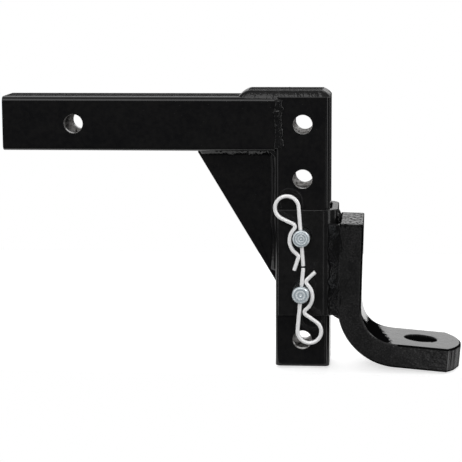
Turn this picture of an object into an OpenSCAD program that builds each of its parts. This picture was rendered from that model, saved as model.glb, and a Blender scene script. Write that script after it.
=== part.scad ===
// Adjustable ball mount. A hollow shank and a hollow column are welded into a mast, a channel slider is
// pinned to the column through a row of holes, and a bent bar with a ball hole is welded to the slider.
// Millimetres. The origin is on the hitch pin hole's axis, at mid-depth and mid-height of the shank.
// +X points from the receiver to the ball, +Z points up, and the pins are pulled out along +Y.

/* [Tubes] */
// Outer width of the square tubes
tube_w = 50.8; // [48:0.1:54]
// Wall of the square tubes
tube_wall = 6.35; // [4:0.05:8]
// Outer corner radius of the square tubes
tube_corner_r = 4.8; // [4:0.1:7]
// Inner corner radius of the square tubes
tube_inner_r = 2; // [1:0.1:4]
// From the hitch pin hole to the shank's free end
shank_end = 67.5; // [40:0.5:120]
// From the hitch pin hole to the column's axis
column_reach = 214.5; // [180:0.5:320]

/* [Pin holes] */
// Diameter of the pin holes
pin_hole_d = 17.5; // [16.5:0.1:19]
// Spacing of the column's holes
hole_pitch = 50.8; // [46:0.1:60]
// Number of holes in the column
hole_count = 5; // [5:1:8]
// From the last hole to the column's foot
hole_end = 25.4; // [18:0.1:40]
// Column hole that holds the upper pin, counted from the top
upper_pin_hole = 3; // [3:1:4]

/* [Slider] */
// Height of the slider
slider_h = 100; // [92:0.5:112]
// Plate thickness of the slider
slider_wall = 6.35; // [5:0.05:8]
// Gap between the slider and the column, on each side
slider_clear = 1.2; // [1.1:0.1:2.5]
// From the back of the web to the flanges' free edges
flange_l = 55.4; // [48:0.1:57]
// What the inner bend radius has over the tube's corner radius and the gap
bend_ease = 2; // [0.5:0.1:2]

/* [Ball platform] */
// Width of the bent bar
bar_w = 76.2; // [70:0.1:90]
// Thickness of the bent bar
bar_t = 22.2; // [18:0.1:26]
// Radius of the bar's long edges
bar_edge_r = 2; // [1:0.1:4]
// Inner radius of the bar's bend
bar_bend_r = 36; // [28:0.5:45]
// From the slider's foot to the start of the bend
bar_foot = 12; // [8:0.5:16]
// Straight length of the upright above the bend
bar_rise = 76; // [60:0.5:80]
// Lean of the upright away from the column
bar_lean = 1.3; // [0:0.1:2]
// Fall of the platform towards its tip
platform_slope = 4.7; // [0:0.1:8]
// Straight length of the platform beyond the bend
platform_l = 61.6; // [60:0.1:90]
// Radius of the platform's rounded tip
tip_r = 57; // [46:0.5:70]
// Diameter of the ball hole
ball_hole_d = 32; // [19.5:0.1:34]
// From the ball hole's axis to the tip
ball_hole_to_tip = 38.4; // [32:0.1:42]

/* [Gusset] */
// Length of the gusset along the shank
gusset_l = 76.2; // [50:0.1:95]
// Height of the gusset along the column
gusset_h = 127; // [70:0.5:160]
// Thickness of the gusset
gusset_t = 9.5; // [5:0.1:14]
// Blunt edge at the gusset's two sharp corners
gusset_blunt = 3; // [1:0.5:6]

/* [Top plate] */
// Length of the top plate
cap_l = 70; // [50:0.5:70]
// Width of the top plate
cap_w = 40; // [30:0.5:42]
// Thickness of the top plate
cap_t = 6; // [4:0.1:8]
// From the plate's end to the column's far side
cap_inset = 7; // [5:0.5:12]
// Corner radius of the plate
cap_corner_r = 2; // [1:0.5:5]

/* [Welds] */
// Leg of the fillet welds
weld_leg = 6; // [3:0.1:6.5]
// Rise of a weld's crown over its flat chord
weld_crown = 0.7; // [0.2:0.1:1.5]
// Width of the welds between the shank and the column
seam_w = 9.5; // [6:0.1:10]
// How far those welds stand proud of the tubes
seam_crown = 1.8; // [0.5:0.1:3]
// Length of the weld at the top plate's end on the shank
cap_end_weld = 9; // [5:0.5:12]

/* [Pins] */
// Diameter of the pins
pin_d = 15.875; // [14:0.005:16.3]
// From under the head to the clip hole
pin_grip = 88.9; // [82:0.1:110]
// From the clip hole to the pin's end
pin_tail = 9.2; // [6:0.1:14]
// Diameter of the head
pin_head_d = 26; // [20:0.5:34]
// Thickness of the head
pin_head_t = 6; // [4:0.1:10]
// Chamfer at the pin's end
pin_chamfer = 1.4; // [0.5:0.1:3]
// How far the upper pin stands back from its seat
upper_pin_back = 9; // [0:0.5:14]

/* [Clips] */
// Diameter of the clips' wire
wire_d = 3.6; // [2.8:0.1:4]
// Diameter of the clip hole in the pins
clip_hole_d = 4.6; // [4.4:0.1:5.5]
// Length of the upper clip's straight leg
upper_clip_leg = 55; // [48:0.1:55]
// Length of the lower clip's straight leg
lower_clip_leg = 58.2; // [50:0.1:58.2]
// Radius of the clips' loop, at the wire's centre
clip_loop_r = 10.9; // [10:0.1:12]
// From the loop's centre to the middle of the bow
clip_loop_rise = 34.4; // [33.5:0.1:37]
// Lean of the upper clip's leg
upper_clip_lean = 4.6; // [0:0.1:8]
// Lean of the lower clip's leg
lower_clip_lean = 5; // [0:0.1:8]
// How far the upper clip is pushed past the middle of its bow
upper_clip_push = 5.9; // [0:0.1:5.9]
// Flare of the upper clip's tip
upper_flare = 22.5; // [18:0.5:45]
// Length of the upper clip's flared tip
upper_flare_l = 12.3; // [8:0.1:14]
// Flare of the lower clip's tip
lower_flare = 40.5; // [18:0.5:45]
// Length of the lower clip's flared tip
lower_flare_l = 10.3; // [8:0.1:14]

/* [Hidden] */
$fn = 64;
cut = 1; // how far a cutting tool passes beyond the face it cuts
seat = 0.3; // gap where one moving piece rests against another
fit_gap = 0.05; // gap left where a pin lies in its hole
joint_step = 0.005; // how far a bend or a joint stands out from the straight stretches beside it
joint_reach = 0.3; // how far the bar's straight stretches reach into its bend
toe_inset = 0.3; // how far a bead's toe stays inside an edge that it runs along

tube_half = tube_w / 2;
column_left = column_reach - tube_half;
column_right = column_reach + tube_half;
column_foot = -(hole_count - 1) * hole_pitch - hole_end;

// The pins lie low in the column's holes and the slider hangs on the pins.
pin_sag = (pin_hole_d - pin_d) / 2 - fit_gap;
upper_hole_z = -(upper_pin_hole - 1) * hole_pitch;
hole_zs = [upper_hole_z, upper_hole_z - hole_pitch];
slider_mid_z = upper_hole_z - hole_pitch / 2 - 2 * pin_sag;
slider_top = slider_mid_z + slider_h / 2;
slider_foot = slider_mid_z - slider_h / 2;
slider_inner = tube_half + slider_clear;
slider_half = slider_inner + slider_wall;
web_inner = column_right + slider_clear;
web_outer = web_inner + slider_wall;
bend_inner_r = tube_corner_r + slider_clear + bend_ease;
bend_outer_r = bend_inner_r + slider_wall;
bend_x = web_inner - bend_inner_r;

bar_bend_angle = 90 + bar_lean - platform_slope;
bar_root_z = slider_foot + bar_foot;
bar_top_left = [web_outer + bar_rise * sin(bar_lean), bar_root_z + bar_rise * cos(bar_lean)];

cap_right = column_right - cap_inset;
cap_left = cap_right - cap_l;

pin_seat_y = slider_half + seat;
pin_l = pin_grip + pin_tail;
clip_aside = (clip_hole_d - wire_d) / 2 - 0.1; // the upper clip's bow pulls its leg to the hole's side

// The bends of a clip. The neck leads from the loop to the waist, the bow goes round the pin, and the
// pinch comes back to the leg.
clip_loop_turn = 240;
clip_neck = 11.6;
clip_small_r = 3; // radius of the waist and of the pinch
clip_bow_r = 15.3;
clip_bow_turn = 88.5;
clip_rise = 1.2; // straight stretch between the waist and the bow
clip_fall = 2.6; // straight stretch between the bow and the pinch

black_coat = "#1b1b1d";
zinc = "#b9c2c9";
spring_wire = "#cfcfca";

// Square with rounded corners, centred
module rounded_square(w, r) {
    square([w - 2 * r, w], center = true);
    square([w, w - 2 * r], center = true);
    for (x = [-1, 1], y = [-1, 1])
        translate([x * (w / 2 - r), y * (w / 2 - r)])
            circle(r);
}

module tube_section() {
    difference() {
        rounded_square(tube_w, tube_corner_r);
        rounded_square(tube_w - 2 * tube_wall, tube_inner_r);
    }
}

// Hole along Y, centred on the mid-plane
module cross_hole(x, z, d, depth) {
    translate([x, 0, z])
        rotate([90, 0, 0])
            cylinder(h = depth, d = d, center = true);
}

// Extrudes a drawing of X and Z along Y, between two places
module along_y(y0, y1) {
    translate([0, y1, 0])
        rotate([90, 0, 0])
            linear_extrude(y1 - y0)
                children();
}

// Extrudes a drawing of Y and Z along X, between two places
module along_x(x0, x1) {
    translate([x0, 0, 0])
        rotate([90, 0, 90])
            linear_extrude(x1 - x0)
                children();
}

// Extrudes a drawing of X and Y along Z, between two places
module along_z(z0, z1) {
    translate([0, 0, z0])
        linear_extrude(z1 - z0)
            children();
}

module on_rear() {
    mirror([0, 1, 0])
        children();
}

// Points from a to b on a shallow arch that rises by crown to the left of that line
function arch(a, b, crown, steps = 10) =
    let (along = b - a, left = [-along[1], along[0]] / norm(along))
    [for (i = [0:steps]) let (t = i / steps) a + t * along + 4 * crown * t * (1 - t) * left];

module shank_envelope() {
    along_x(-shank_end, column_left)
        rounded_square(tube_w, tube_corner_r);
}

module column_envelope() {
    translate([column_reach, 0, 0])
        along_z(column_foot, tube_half)
            rounded_square(tube_w, tube_corner_r);
}

module shank_tube() {
    color(black_coat)
        difference() {
            along_x(-shank_end, column_left)
                tube_section();
            cross_hole(0, 0, pin_hole_d, tube_w + 2 * cut);
        }
}

module column_tube() {
    color(black_coat)
        difference() {
            translate([column_reach, 0, 0])
                along_z(column_foot, tube_half)
                    tube_section();
            for (i = [0:hole_count - 1])
                cross_hole(column_reach, -i * hole_pitch, pin_hole_d, tube_w + 2 * cut);
        }
}

module top_plate() {
    mid = (cap_left + cap_right) / 2;
    color(black_coat)
        along_z(tube_half, tube_half + cap_t) {
            translate([mid, 0])
                square([cap_l - 2 * cap_corner_r, cap_w], center = true);
            translate([mid, 0])
                square([cap_l, cap_w - 2 * cap_corner_r], center = true);
            for (x = [cap_left + cap_corner_r, cap_right - cap_corner_r], y = [-1, 1])
                translate([x, y * (cap_w / 2 - cap_corner_r)])
                    circle(cap_corner_r);
        }
}

module gusset_plate() {
    inset = gusset_blunt * gusset_l / gusset_h;
    drop = gusset_blunt * gusset_h / gusset_l;
    color(black_coat)
        along_y(-gusset_t / 2, gusset_t / 2)
            polygon([
                [column_left, -tube_half],
                [column_left - gusset_l + inset, -tube_half],
                [column_left - gusset_l + inset, -tube_half - gusset_blunt],
                [column_left - gusset_blunt, -tube_half - gusset_h + drop],
                [column_left, -tube_half - gusset_h + drop]
            ]);
}

// Bead that fills the groove between the shank's end and the column's rounded corner, on the front. A
// sixth of its width lies on the shank.
module shank_seam() {
    run = tube_half - tube_corner_r;
    start = [column_left - seam_w / 6, -tube_half];
    end = [start[0] + seam_w, -tube_half];
    color(black_coat)
        difference() {
            along_z(-run, run)
                polygon(concat(arch(end, start, seam_crown), [[start[0], -run], [end[0], -run]]));
            shank_envelope();
            column_envelope();
        }
}

module shank_weld_front() {
    shank_seam();
}

module shank_weld_rear() {
    on_rear()
        shank_seam();
}

// Two short fillets in the corner under the shank, one on each side of the gusset
module shank_weld_under() {
    inner = gusset_t / 2 + weld_leg;
    outer = tube_half - tube_corner_r;
    corner = [column_left, -tube_half];
    color(black_coat)
        for (side = [0, 1])
            mirror([0, side, 0])
                along_y(-outer, -inner)
                    polygon(concat(
                        arch(corner - [weld_leg, 0], corner - [0, weld_leg], -weld_crown),
                        [corner]
                    ));
}

// Fillet run round the top plate. A roof across Y and a roof along X cut each other, and what is left
// outside the plate and the tubes is the bead.
module top_plate_weld() {
    rim = tube_half - toe_inset;
    far = column_right - toe_inset;
    top = tube_half + cap_t;
    skirt = tube_half - tube_corner_r;
    toe = skirt + 0.4; // just above where the tubes' corners run into their sides
    run_out = 2; // the end's roof line starts this far past the weld, below the shank's top
    far_toe = 1; // what is left of the bead at the column's far edge
    cross_roof = concat(
        arch([cap_w / 2, top], [rim, toe], weld_crown),
        [[rim, skirt - cut], [-rim, skirt - cut]],
        arch([-rim, toe], [-cap_w / 2, top], weld_crown)
    );
    long_roof = concat(
        arch([cap_left - cap_end_weld - run_out, skirt], [cap_left, top], 2 * weld_crown),
        arch([cap_right - 0.5, top], [far, tube_half + far_toe], 2 * weld_crown),
        [[far, skirt]]
    );
    color(black_coat)
        difference() {
            intersection() {
                along_x(cap_left - 2 * cap_end_weld, column_right)
                    polygon(cross_roof);
                along_y(-tube_half, tube_half)
                    polygon(long_roof);
                union() {
                    along_z(skirt - cut, top)
                        translate([cap_left - 2 * cap_end_weld, -tube_half])
                            square([column_left - cap_left + 2 * cap_end_weld, tube_w]);
                    translate([column_reach, 0, 0])
                        along_z(tube_half, top)
                            rounded_square(tube_w, tube_corner_r);
                }
            }
            shank_envelope();
            top_plate();
        }
}

// Fillet between the gusset's front face and the underside of the shank
module gusset_shank_fillet() {
    root = [-gusset_t / 2, -tube_half];
    color(black_coat)
        along_x(column_left - gusset_l + weld_leg, column_left - weld_leg)
            polygon(concat(arch(root - [weld_leg, 0], root - [0, weld_leg], -weld_crown), [root]));
}

module gusset_shank_weld_front() {
    gusset_shank_fillet();
}

module gusset_shank_weld_rear() {
    on_rear()
        gusset_shank_fillet();
}

// Fillet between the gusset's front face and the column's side. It ends where the gusset gets narrow.
module gusset_column_fillet() {
    root = [column_left, -gusset_t / 2];
    foot = -tube_half - gusset_h + 1.2 * weld_leg * gusset_h / gusset_l;
    color(black_coat)
        along_z(foot, -tube_half)
            polygon(concat(arch(root - [weld_leg, 0], root - [0, weld_leg], -weld_crown), [root]));
}

module gusset_column_weld_front() {
    gusset_column_fillet();
}

module gusset_column_weld_rear() {
    on_rear()
        gusset_column_fillet();
}

// Strip with rounded corners at its right-hand end, centred on the mid-plane
module rounded_strip(left, right, half, r) {
    translate([left, -half])
        square([right - r - left, 2 * half]);
    translate([right - r - cut, -half + r])
        square([r + cut, 2 * (half - r)]);
    for (side = [-1, 1])
        translate([right - r, side * (half - r)])
            circle(r);
}

module slider_envelope() {
    along_z(slider_foot, slider_top)
        rounded_strip(web_outer - flange_l, web_outer, slider_half, bend_outer_r);
}

module slider_channel() {
    color(black_coat)
        difference() {
            slider_envelope();
            along_z(slider_foot - cut, slider_top + cut)
                rounded_strip(web_outer - flange_l - cut, web_inner, slider_inner, bend_inner_r);
            for (z = hole_zs)
                cross_hole(column_reach, z - 2 * pin_sag, pin_hole_d, 2 * slider_half + 2 * cut);
        }
}

// Section of the bar, from the face that lies against the web, or a little larger all round
module bar_section(grow = 0) {
    r = bar_edge_r + grow;
    t = bar_t + 2 * grow;
    w = bar_w + 2 * grow;
    translate([-grow, 0]) {
        translate([0, -w / 2 + r])
            square([t, w - 2 * r]);
        translate([r, -w / 2])
            square([t - 2 * r, w]);
        for (x = [r, t - r], side = [-1, 1])
            translate([x, side * (w / 2 - r)])
                circle(r);
    }
}

// Frame of the upright: X goes through its thickness, Z up along it, from the start of the bend
module on_upright() {
    translate([web_outer, 0, bar_root_z])
        rotate([0, bar_lean, 0])
            children();
}

// The upright's frame carried round the bend: the platform runs along -Z and its top is at X = bar_t
module round_bend() {
    translate([bar_t + bar_bend_r, 0, 0])
        rotate([0, -bar_bend_angle, 0])
            translate([-bar_t - bar_bend_r, 0, 0])
                children();
}

// Outline of the platform from above, with its rounded tip. It passes beyond the bar on every other side.
module platform_outline() {
    tip_centre = platform_l - tip_r;
    translate([tip_centre, 0])
        circle(tip_r, $fn = 128);
    translate([-cut, -bar_w / 2 - cut])
        square([max(tip_centre, 0) + cut, bar_w + 2 * cut]);
}

// Straight stretch beyond the bend, which reaches a little way into it
module platform_solid() {
    intersection() {
        translate([0, 0, -platform_l])
            linear_extrude(platform_l + joint_reach)
                bar_section();
        translate([-cut, 0, 0])
            rotate([0, 90, 0])
                linear_extrude(bar_t + 2 * cut)
                    platform_outline();
    }
}

// All that lies above (1) or below (-1) the plane Z = 0
module half_space(side) {
    reach = 4 * (bar_t + bar_bend_r);
    translate([-reach, -reach, side > 0 ? 0 : -reach])
        cube([2 * reach, 2 * reach, reach]);
}

// Ring of the bar's section, cut off at the planes where the straight stretches begin. It is a hair
// larger than they are, so that the three make one solid.
module bend_solid() {
    difference() {
        translate([bar_t + bar_bend_r, 0, 0])
            rotate([90, 0, 0])
                rotate_extrude($fn = 128)
                    translate([bar_bend_r + bar_t, 0])
                        mirror([1, 0])
                            bar_section(joint_step);
        half_space(1);
        round_bend()
            half_space(-1);
    }
}

module bar_solid() {
    on_upright() {
        translate([0, 0, -joint_reach])
            linear_extrude(bar_rise + joint_reach)
                bar_section();
        bend_solid();
        round_bend()
            platform_solid();
    }
}

module ball_platform() {
    color(black_coat)
        difference() {
            bar_solid();
            on_upright()
                round_bend()
                    translate([-cut, 0, -platform_l + ball_hole_to_tip])
                        rotate([0, 90, 0])
                            cylinder(h = bar_t + 2 * cut, d = ball_hole_d);
        }
}

// Bead between the channel's rounded corner and the bar's edge, on the front
module platform_side_bead() {
    lap = 2; // how far it reaches onto the bar's side
    start = [column_right, -slider_half];
    end = [web_outer + lap, -bar_w / 2];
    color(black_coat)
        difference() {
            along_z(slider_foot, bar_top_left[1])
                polygon(concat(
                    arch(start, end, -weld_crown),
                    [[end[0] + bar_edge_r, -slider_half + bend_outer_r], [bend_x, -slider_half + bend_outer_r]]
                ));
            slider_envelope();
            bar_solid();
        }
}

module platform_weld_front() {
    platform_side_bead();
}

module platform_weld_rear() {
    on_rear()
        platform_side_bead();
}

// Fillet between the web and the bar's sawn top end
module platform_weld_top() {
    z = bar_top_left[1];
    right = bar_top_left[0] + 0.7 * weld_leg;
    crest = z + 0.9 * weld_leg;
    color(black_coat)
        difference() {
            along_y(-slider_inner, slider_inner)
                polygon(concat(
                    arch([web_outer, crest], [right, z - cut], weld_crown),
                    [[bend_x, z - cut], [bend_x, crest]]
                ));
            along_z(slider_foot, z)
                translate([bend_x - cut, -bar_w / 2])
                    square([bar_top_left[0] - bend_x + cut, bar_w]);
            slider_envelope();
            bar_solid();
        }
}

// Fillet under the web, in the corner that it makes with the back of the bend
module platform_weld_foot() {
    z = slider_foot;
    right = web_outer + weld_leg / 2;
    color(black_coat)
        difference() {
            along_y(-slider_inner, slider_inner)
                polygon(concat(
                    arch([web_inner + seat, z], [right, z - weld_leg], -weld_crown),
                    [[right, z]]
                ));
            bar_solid();
        }
}

// Pin along Y, drawn from under its head at the origin towards its end on -Y, with the clip hole upright
module lock_pin(lean) {
    color(zinc)
        difference() {
            rotate([90, 0, 0])
                rotate_extrude()
                    polygon([
                        [0, -pin_head_t],
                        [pin_head_d / 2 - pin_chamfer, -pin_head_t],
                        [pin_head_d / 2, -pin_head_t + pin_chamfer],
                        [pin_head_d / 2, 0],
                        [pin_d / 2, 0],
                        [pin_d / 2, pin_l - pin_chamfer],
                        [pin_d / 2 - pin_chamfer, pin_l],
                        [0, pin_l]
                    ]);
            translate([0, -pin_grip, 0])
                rotate([0, -lean, 0])
                    cylinder(h = pin_d + 2 * cut, d = clip_hole_d, center = true);
        }
}

module pin_upper() {
    translate([column_reach, pin_seat_y + upper_pin_back, hole_zs[0] - pin_sag])
        lock_pin(upper_clip_lean);
}

module pin_lower() {
    translate([column_reach, pin_seat_y, hole_zs[1] - pin_sag])
        lock_pin(-lower_clip_lean);
}

// Round wire that is bent step by step in the XY plane, from the origin along +Y. A step is [length]
// for a straight stretch or [radius, angle] for a bend, with positive angles to the left. A ball a hair
// wider than the wire sits at each joint and makes the stretches one solid.
module bent_wire(steps, i = 0) {
    step = steps[i];
    last = i == len(steps) - 1;
    if (i > 0)
        sphere(d = wire_d + 2 * joint_step, $fn = 32);
    if (len(step) == 1) {
        rotate([-90, 0, 0])
            cylinder(h = step[0], d = wire_d, $fn = 32);
        if (!last)
            translate([0, step[0], 0])
                bent_wire(steps, i + 1);
    } else {
        side = sign(step[1]);
        sweep = abs(step[1]);
        translate([-side * step[0], 0, 0]) {
            rotate([0, 0, side > 0 ? 0 : 180 - sweep])
                rotate_extrude(angle = sweep, $fn = 96)
                    translate([step[0], 0])
                        circle(d = wire_d, $fn = 32);
            if (!last)
                rotate([0, 0, step[1]])
                    translate([side * step[0], 0, 0])
                        bent_wire(steps, i + 1);
        }
    }
}

// R clip. Its leg lies along Y, and the middle of its bow is beside the origin.
module spring_clip(leg, flare, flare_l) {
    color(spring_wire)
        translate([0, clip_loop_rise - leg, 0])
            bent_wire([
                [leg],
                [clip_loop_r, clip_loop_turn],
                [clip_neck],
                [clip_small_r, -(clip_loop_turn - 180 + clip_bow_turn / 2)],
                [clip_rise],
                [clip_bow_r, clip_bow_turn],
                [clip_fall],
                [clip_small_r, -(clip_bow_turn / 2 + flare)],
                [flare_l]
            ]);
}

// Stands a clip in the plane of a pin's clip hole, turned by an angle from upright. The lower clip is
// turned over, so that the two legs point at each other.
module on_pin(z, back, turn) {
    translate([column_reach, pin_seat_y - pin_grip + back, z - pin_sag])
        rotate([90, 0, 0])
            rotate([0, 0, turn])
                children();
}

module clip_upper() {
    on_pin(hole_zs[0], upper_pin_back, upper_clip_lean)
        translate([-clip_aside, -upper_clip_push, 0])
            spring_clip(upper_clip_leg, upper_flare, upper_flare_l);
}

module clip_lower() {
    on_pin(hole_zs[1], 0, 180 - lower_clip_lean)
        spring_clip(lower_clip_leg, lower_flare, lower_flare_l);
}

shank_tube();
column_tube();
top_plate();
gusset_plate();
shank_weld_front();
shank_weld_rear();
shank_weld_under();
top_plate_weld();
gusset_shank_weld_front();
gusset_shank_weld_rear();
gusset_column_weld_front();
gusset_column_weld_rear();
slider_channel();
ball_platform();
platform_weld_front();
platform_weld_rear();
platform_weld_top();
platform_weld_foot();
pin_upper();
pin_lower();
clip_upper();
clip_lower();
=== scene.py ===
# Adjustable ball mount: the black mast, the slider with its ball platform, two pins and two clips.
# Every surface is worked out in millimetres and goes into its mesh in metres.
import bpy, bmesh, math
import numpy as np
from mathutils import Matrix, Vector

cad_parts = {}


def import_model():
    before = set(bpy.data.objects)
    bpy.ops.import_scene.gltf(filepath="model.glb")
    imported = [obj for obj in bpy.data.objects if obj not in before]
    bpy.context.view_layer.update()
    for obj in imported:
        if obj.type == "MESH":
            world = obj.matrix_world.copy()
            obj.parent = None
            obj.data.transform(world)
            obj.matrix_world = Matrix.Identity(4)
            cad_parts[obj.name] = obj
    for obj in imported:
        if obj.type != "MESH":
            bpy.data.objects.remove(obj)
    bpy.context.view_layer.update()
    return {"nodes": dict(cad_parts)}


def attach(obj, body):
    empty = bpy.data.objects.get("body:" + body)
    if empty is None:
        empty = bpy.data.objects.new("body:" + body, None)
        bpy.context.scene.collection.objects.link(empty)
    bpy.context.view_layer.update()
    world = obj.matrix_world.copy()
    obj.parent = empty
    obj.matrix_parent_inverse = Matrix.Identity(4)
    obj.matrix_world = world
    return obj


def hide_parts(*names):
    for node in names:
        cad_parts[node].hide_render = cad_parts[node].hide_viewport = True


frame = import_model()
print("frame loaded,", len(frame["nodes"]), "CAD nodes")

# Meshes from grids of points

rimSteps = 4  # of the rounding round the ends of tubes and the edges of plates
capRings = (0, 0.5, 0.9)  # rings of a flat end, as shares of its outline
mergeWithin = 2e-6  # metres


# Quads of a grid with rows x columns points; joined rows or columns close on themselves.
def gridQuads(rows, cols, joinRows, joinCols):
    r, c = np.meshgrid(np.arange(rows - (not joinRows)), np.arange(cols - (not joinCols)), indexing="ij")
    nextR, nextC = (r + 1) % rows, (c + 1) % cols
    return np.stack([r * cols + c, r * cols + nextC, nextR * cols + nextC, nextR * cols + c], -1)


# Grid of points, with each point's share of bare steel, of painted shade (dead black without gloss) and of
# bright shaft for the finishes.
def grid(points, joinRows=False, joinCols=False, keep=None, bare=0.0, shadeShare=0.0, shaft=0.0):
    shares = dict(bareSteel=bare, paintedShade=shadeShare, brightShaft=shaft)
    return dict(points=points, joinRows=joinRows, joinCols=joinCols, keep=keep, shares=shares)


def newObject(name, data):
    thing = bpy.data.objects.new(name, data)
    bpy.context.scene.collection.objects.link(thing)
    return thing


# One closed mesh from several grids whose borders meet: doubles are merged and the faces turned outwards.
def makePiece(name, grids, material, body, node, sharpAngle=40, weighted=True):
    points, quads, first = [], [], 0
    shares = {label: [] for label in grids[0]["shares"]}
    for g in grids:
        rows, cols = g["points"].shape[:2]
        q = gridQuads(rows, cols, g["joinRows"], g["joinCols"])
        q = q.reshape(-1, 4) if g["keep"] is None else q[g["keep"]]
        points.append(g["points"].reshape(-1, 3))
        quads.append(q + first)
        for label, share in g["shares"].items():
            shares[label].append(np.broadcast_to(share, (rows, cols)).ravel())
        first += rows * cols
    mesh = bpy.data.meshes.new(name)
    mesh.from_pydata(np.concatenate(points) * 0.001, [], np.concatenate(quads))
    for label, values in shares.items():
        values = np.concatenate(values).astype(np.float32)
        mesh.attributes.new(label, "FLOAT", "POINT").data.foreach_set("value", values)
    bm = bmesh.new()
    bm.from_mesh(mesh)
    bmesh.ops.remove_doubles(bm, verts=bm.verts, dist=mergeWithin)
    loose = [v for v in bm.verts if not v.link_faces]
    bmesh.ops.delete(bm, geom=loose, context="VERTS")
    bmesh.ops.recalc_face_normals(bm, faces=bm.faces)
    openEdges = sum(not e.is_manifold for e in bm.edges)
    if bm.calc_volume(signed=True) < 0:
        bmesh.ops.reverse_faces(bm, faces=bm.faces)
    bm.to_mesh(mesh)
    bm.free()
    mesh.shade_smooth()
    if sharpAngle:
        mesh.set_sharp_from_angle(angle=math.radians(sharpAngle))
    mesh.materials.append(material)
    piece = newObject(name, mesh)
    if weighted:
        finish = piece.modifiers.new("flatFaces", "WEIGHTED_NORMAL")
        finish.keep_sharp = True
    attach(piece, body)
    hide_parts(node)
    print(name, len(mesh.polygons), "faces", openEdges, "open edges")


def lerp(a, b, t):
    return a + (b - a) * t


def lineOf(a, b, n):
    return lerp(np.array(a, float), np.array(b, float), np.linspace(0, 1, n)[:, None])


# Quarter round of radius r, from the side onto the flat or back: how far in and how deep each step lies.
def quarterRound(r, steps):
    a = np.linspace(0, np.pi / 2, steps + 1)
    return r * (1 - np.sin(a)), r * (1 - np.cos(a))


# Turns a place in an upright plane by an angle in degrees, from across towards up.
def tilted(across, up, angle):
    c, s = math.cos(math.radians(angle)), math.sin(math.radians(angle))
    return across * c - up * s, across * s + up * c


# Sum of a few sines with seeded phases: a smooth wander between about -1 and 1.
def wander(u, seed, waves=6, slowest=1.0):
    rng = np.random.default_rng(seed)
    pace = slowest * (1 + np.arange(waves)) * rng.uniform(0.8, 1.2, waves)
    phase = rng.uniform(0, 6.28, waves)
    weight = 1 / np.sqrt(1 + np.arange(waves))
    total = (weight * np.sin(2 * np.pi * np.multiply.outer(u, pace) + phase)).sum(-1)
    return total / np.sqrt((weight * weight).sum())


# Rectangle with rounded corners: four straight sides with quarter circles between them.
def roundedLoop(halfA, halfB, r, flats, arcs):
    flatA, flatB = halfA - r, halfB - r
    t = np.linspace(-1, 1, flats + 1)
    even = np.ones(flats + 1)
    sides = [(t * flatA, -halfB * even), (halfA * even, t * flatB),
             (-t * flatA, halfB * even), (-halfA * even, -t * flatB)]
    centres = [(flatA, -flatB), (flatA, flatB), (-flatA, flatB), (-flatA, -flatB)]
    bend = np.linspace(0, np.pi / 2, arcs + 1)[1:-1] - np.pi / 2
    points = []
    for turn, (side, centre) in enumerate(zip(sides, centres)):
        angle = bend + turn * np.pi / 2
        points.append(np.stack(side, 1))
        points.append(centre + r * np.stack([np.cos(angle), np.sin(angle)], 1))
    return np.concatenate(points)


# Rows that run up the outer skin, over a rounded rim, down the inner skin and round the other rim.
# Each row is a place along the member and a share of the wall's thickness.
def wallRows(stations, wall, soft):
    inset, deep = quarterRound(soft, rimSteps)
    out, share = soft - inset[1:], deep[1:] / wall
    high, low = stations[-1] + out, stations[0] - out
    places = np.concatenate([stations, high, high[::-1], stations[::-1], low, low[::-1]])
    skin = np.zeros(len(stations))
    shares = np.concatenate([skin, share, (1 - share)[::-1], skin + 1, 1 - share, share[::-1]])
    return places, shares


# Stations along a member whose hole cells have evenly spaced stations.
def memberStations(start, end, soft, holes, half, flats, pitch=12.0):
    marks, here = [], start + soft
    for at in sorted(holes):
        marks.append(np.linspace(here, at - half, max(2, int((at - half - here) / pitch) + 2))[:-1])
        marks.append(np.linspace(at - half, at + half, flats + 1)[:-1])
        here = at + half
    marks.append(np.linspace(here, end - soft, max(2, int((end - soft - here) / pitch) + 2)))
    stations = np.concatenate(marks)
    return stations[np.concatenate([[True], np.diff(stations) > 1e-6])]


# Leaves a hole's cell out of the outer and the inner skin, and gives the stations that the cell spans.
def cutCell(keep, stations, start, firstCol, flats):
    outer = int(np.argmin(abs(stations - start)))
    inner = 2 * (len(stations) + rimSteps) - 1 - outer - flats
    for row in (outer, inner):
        keep[row:row + flats, firstCol:firstCol + flats] = False
    return stations[outer:outer + flats + 1]


hole = dict(rings=(1, 0.45, 0.12, 0), rimSteps=3, wallSteps=12, bareRim=(0, 0.3, 0.7, 1), bareFade=0.2,
            shadeFrom=1.5)


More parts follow.
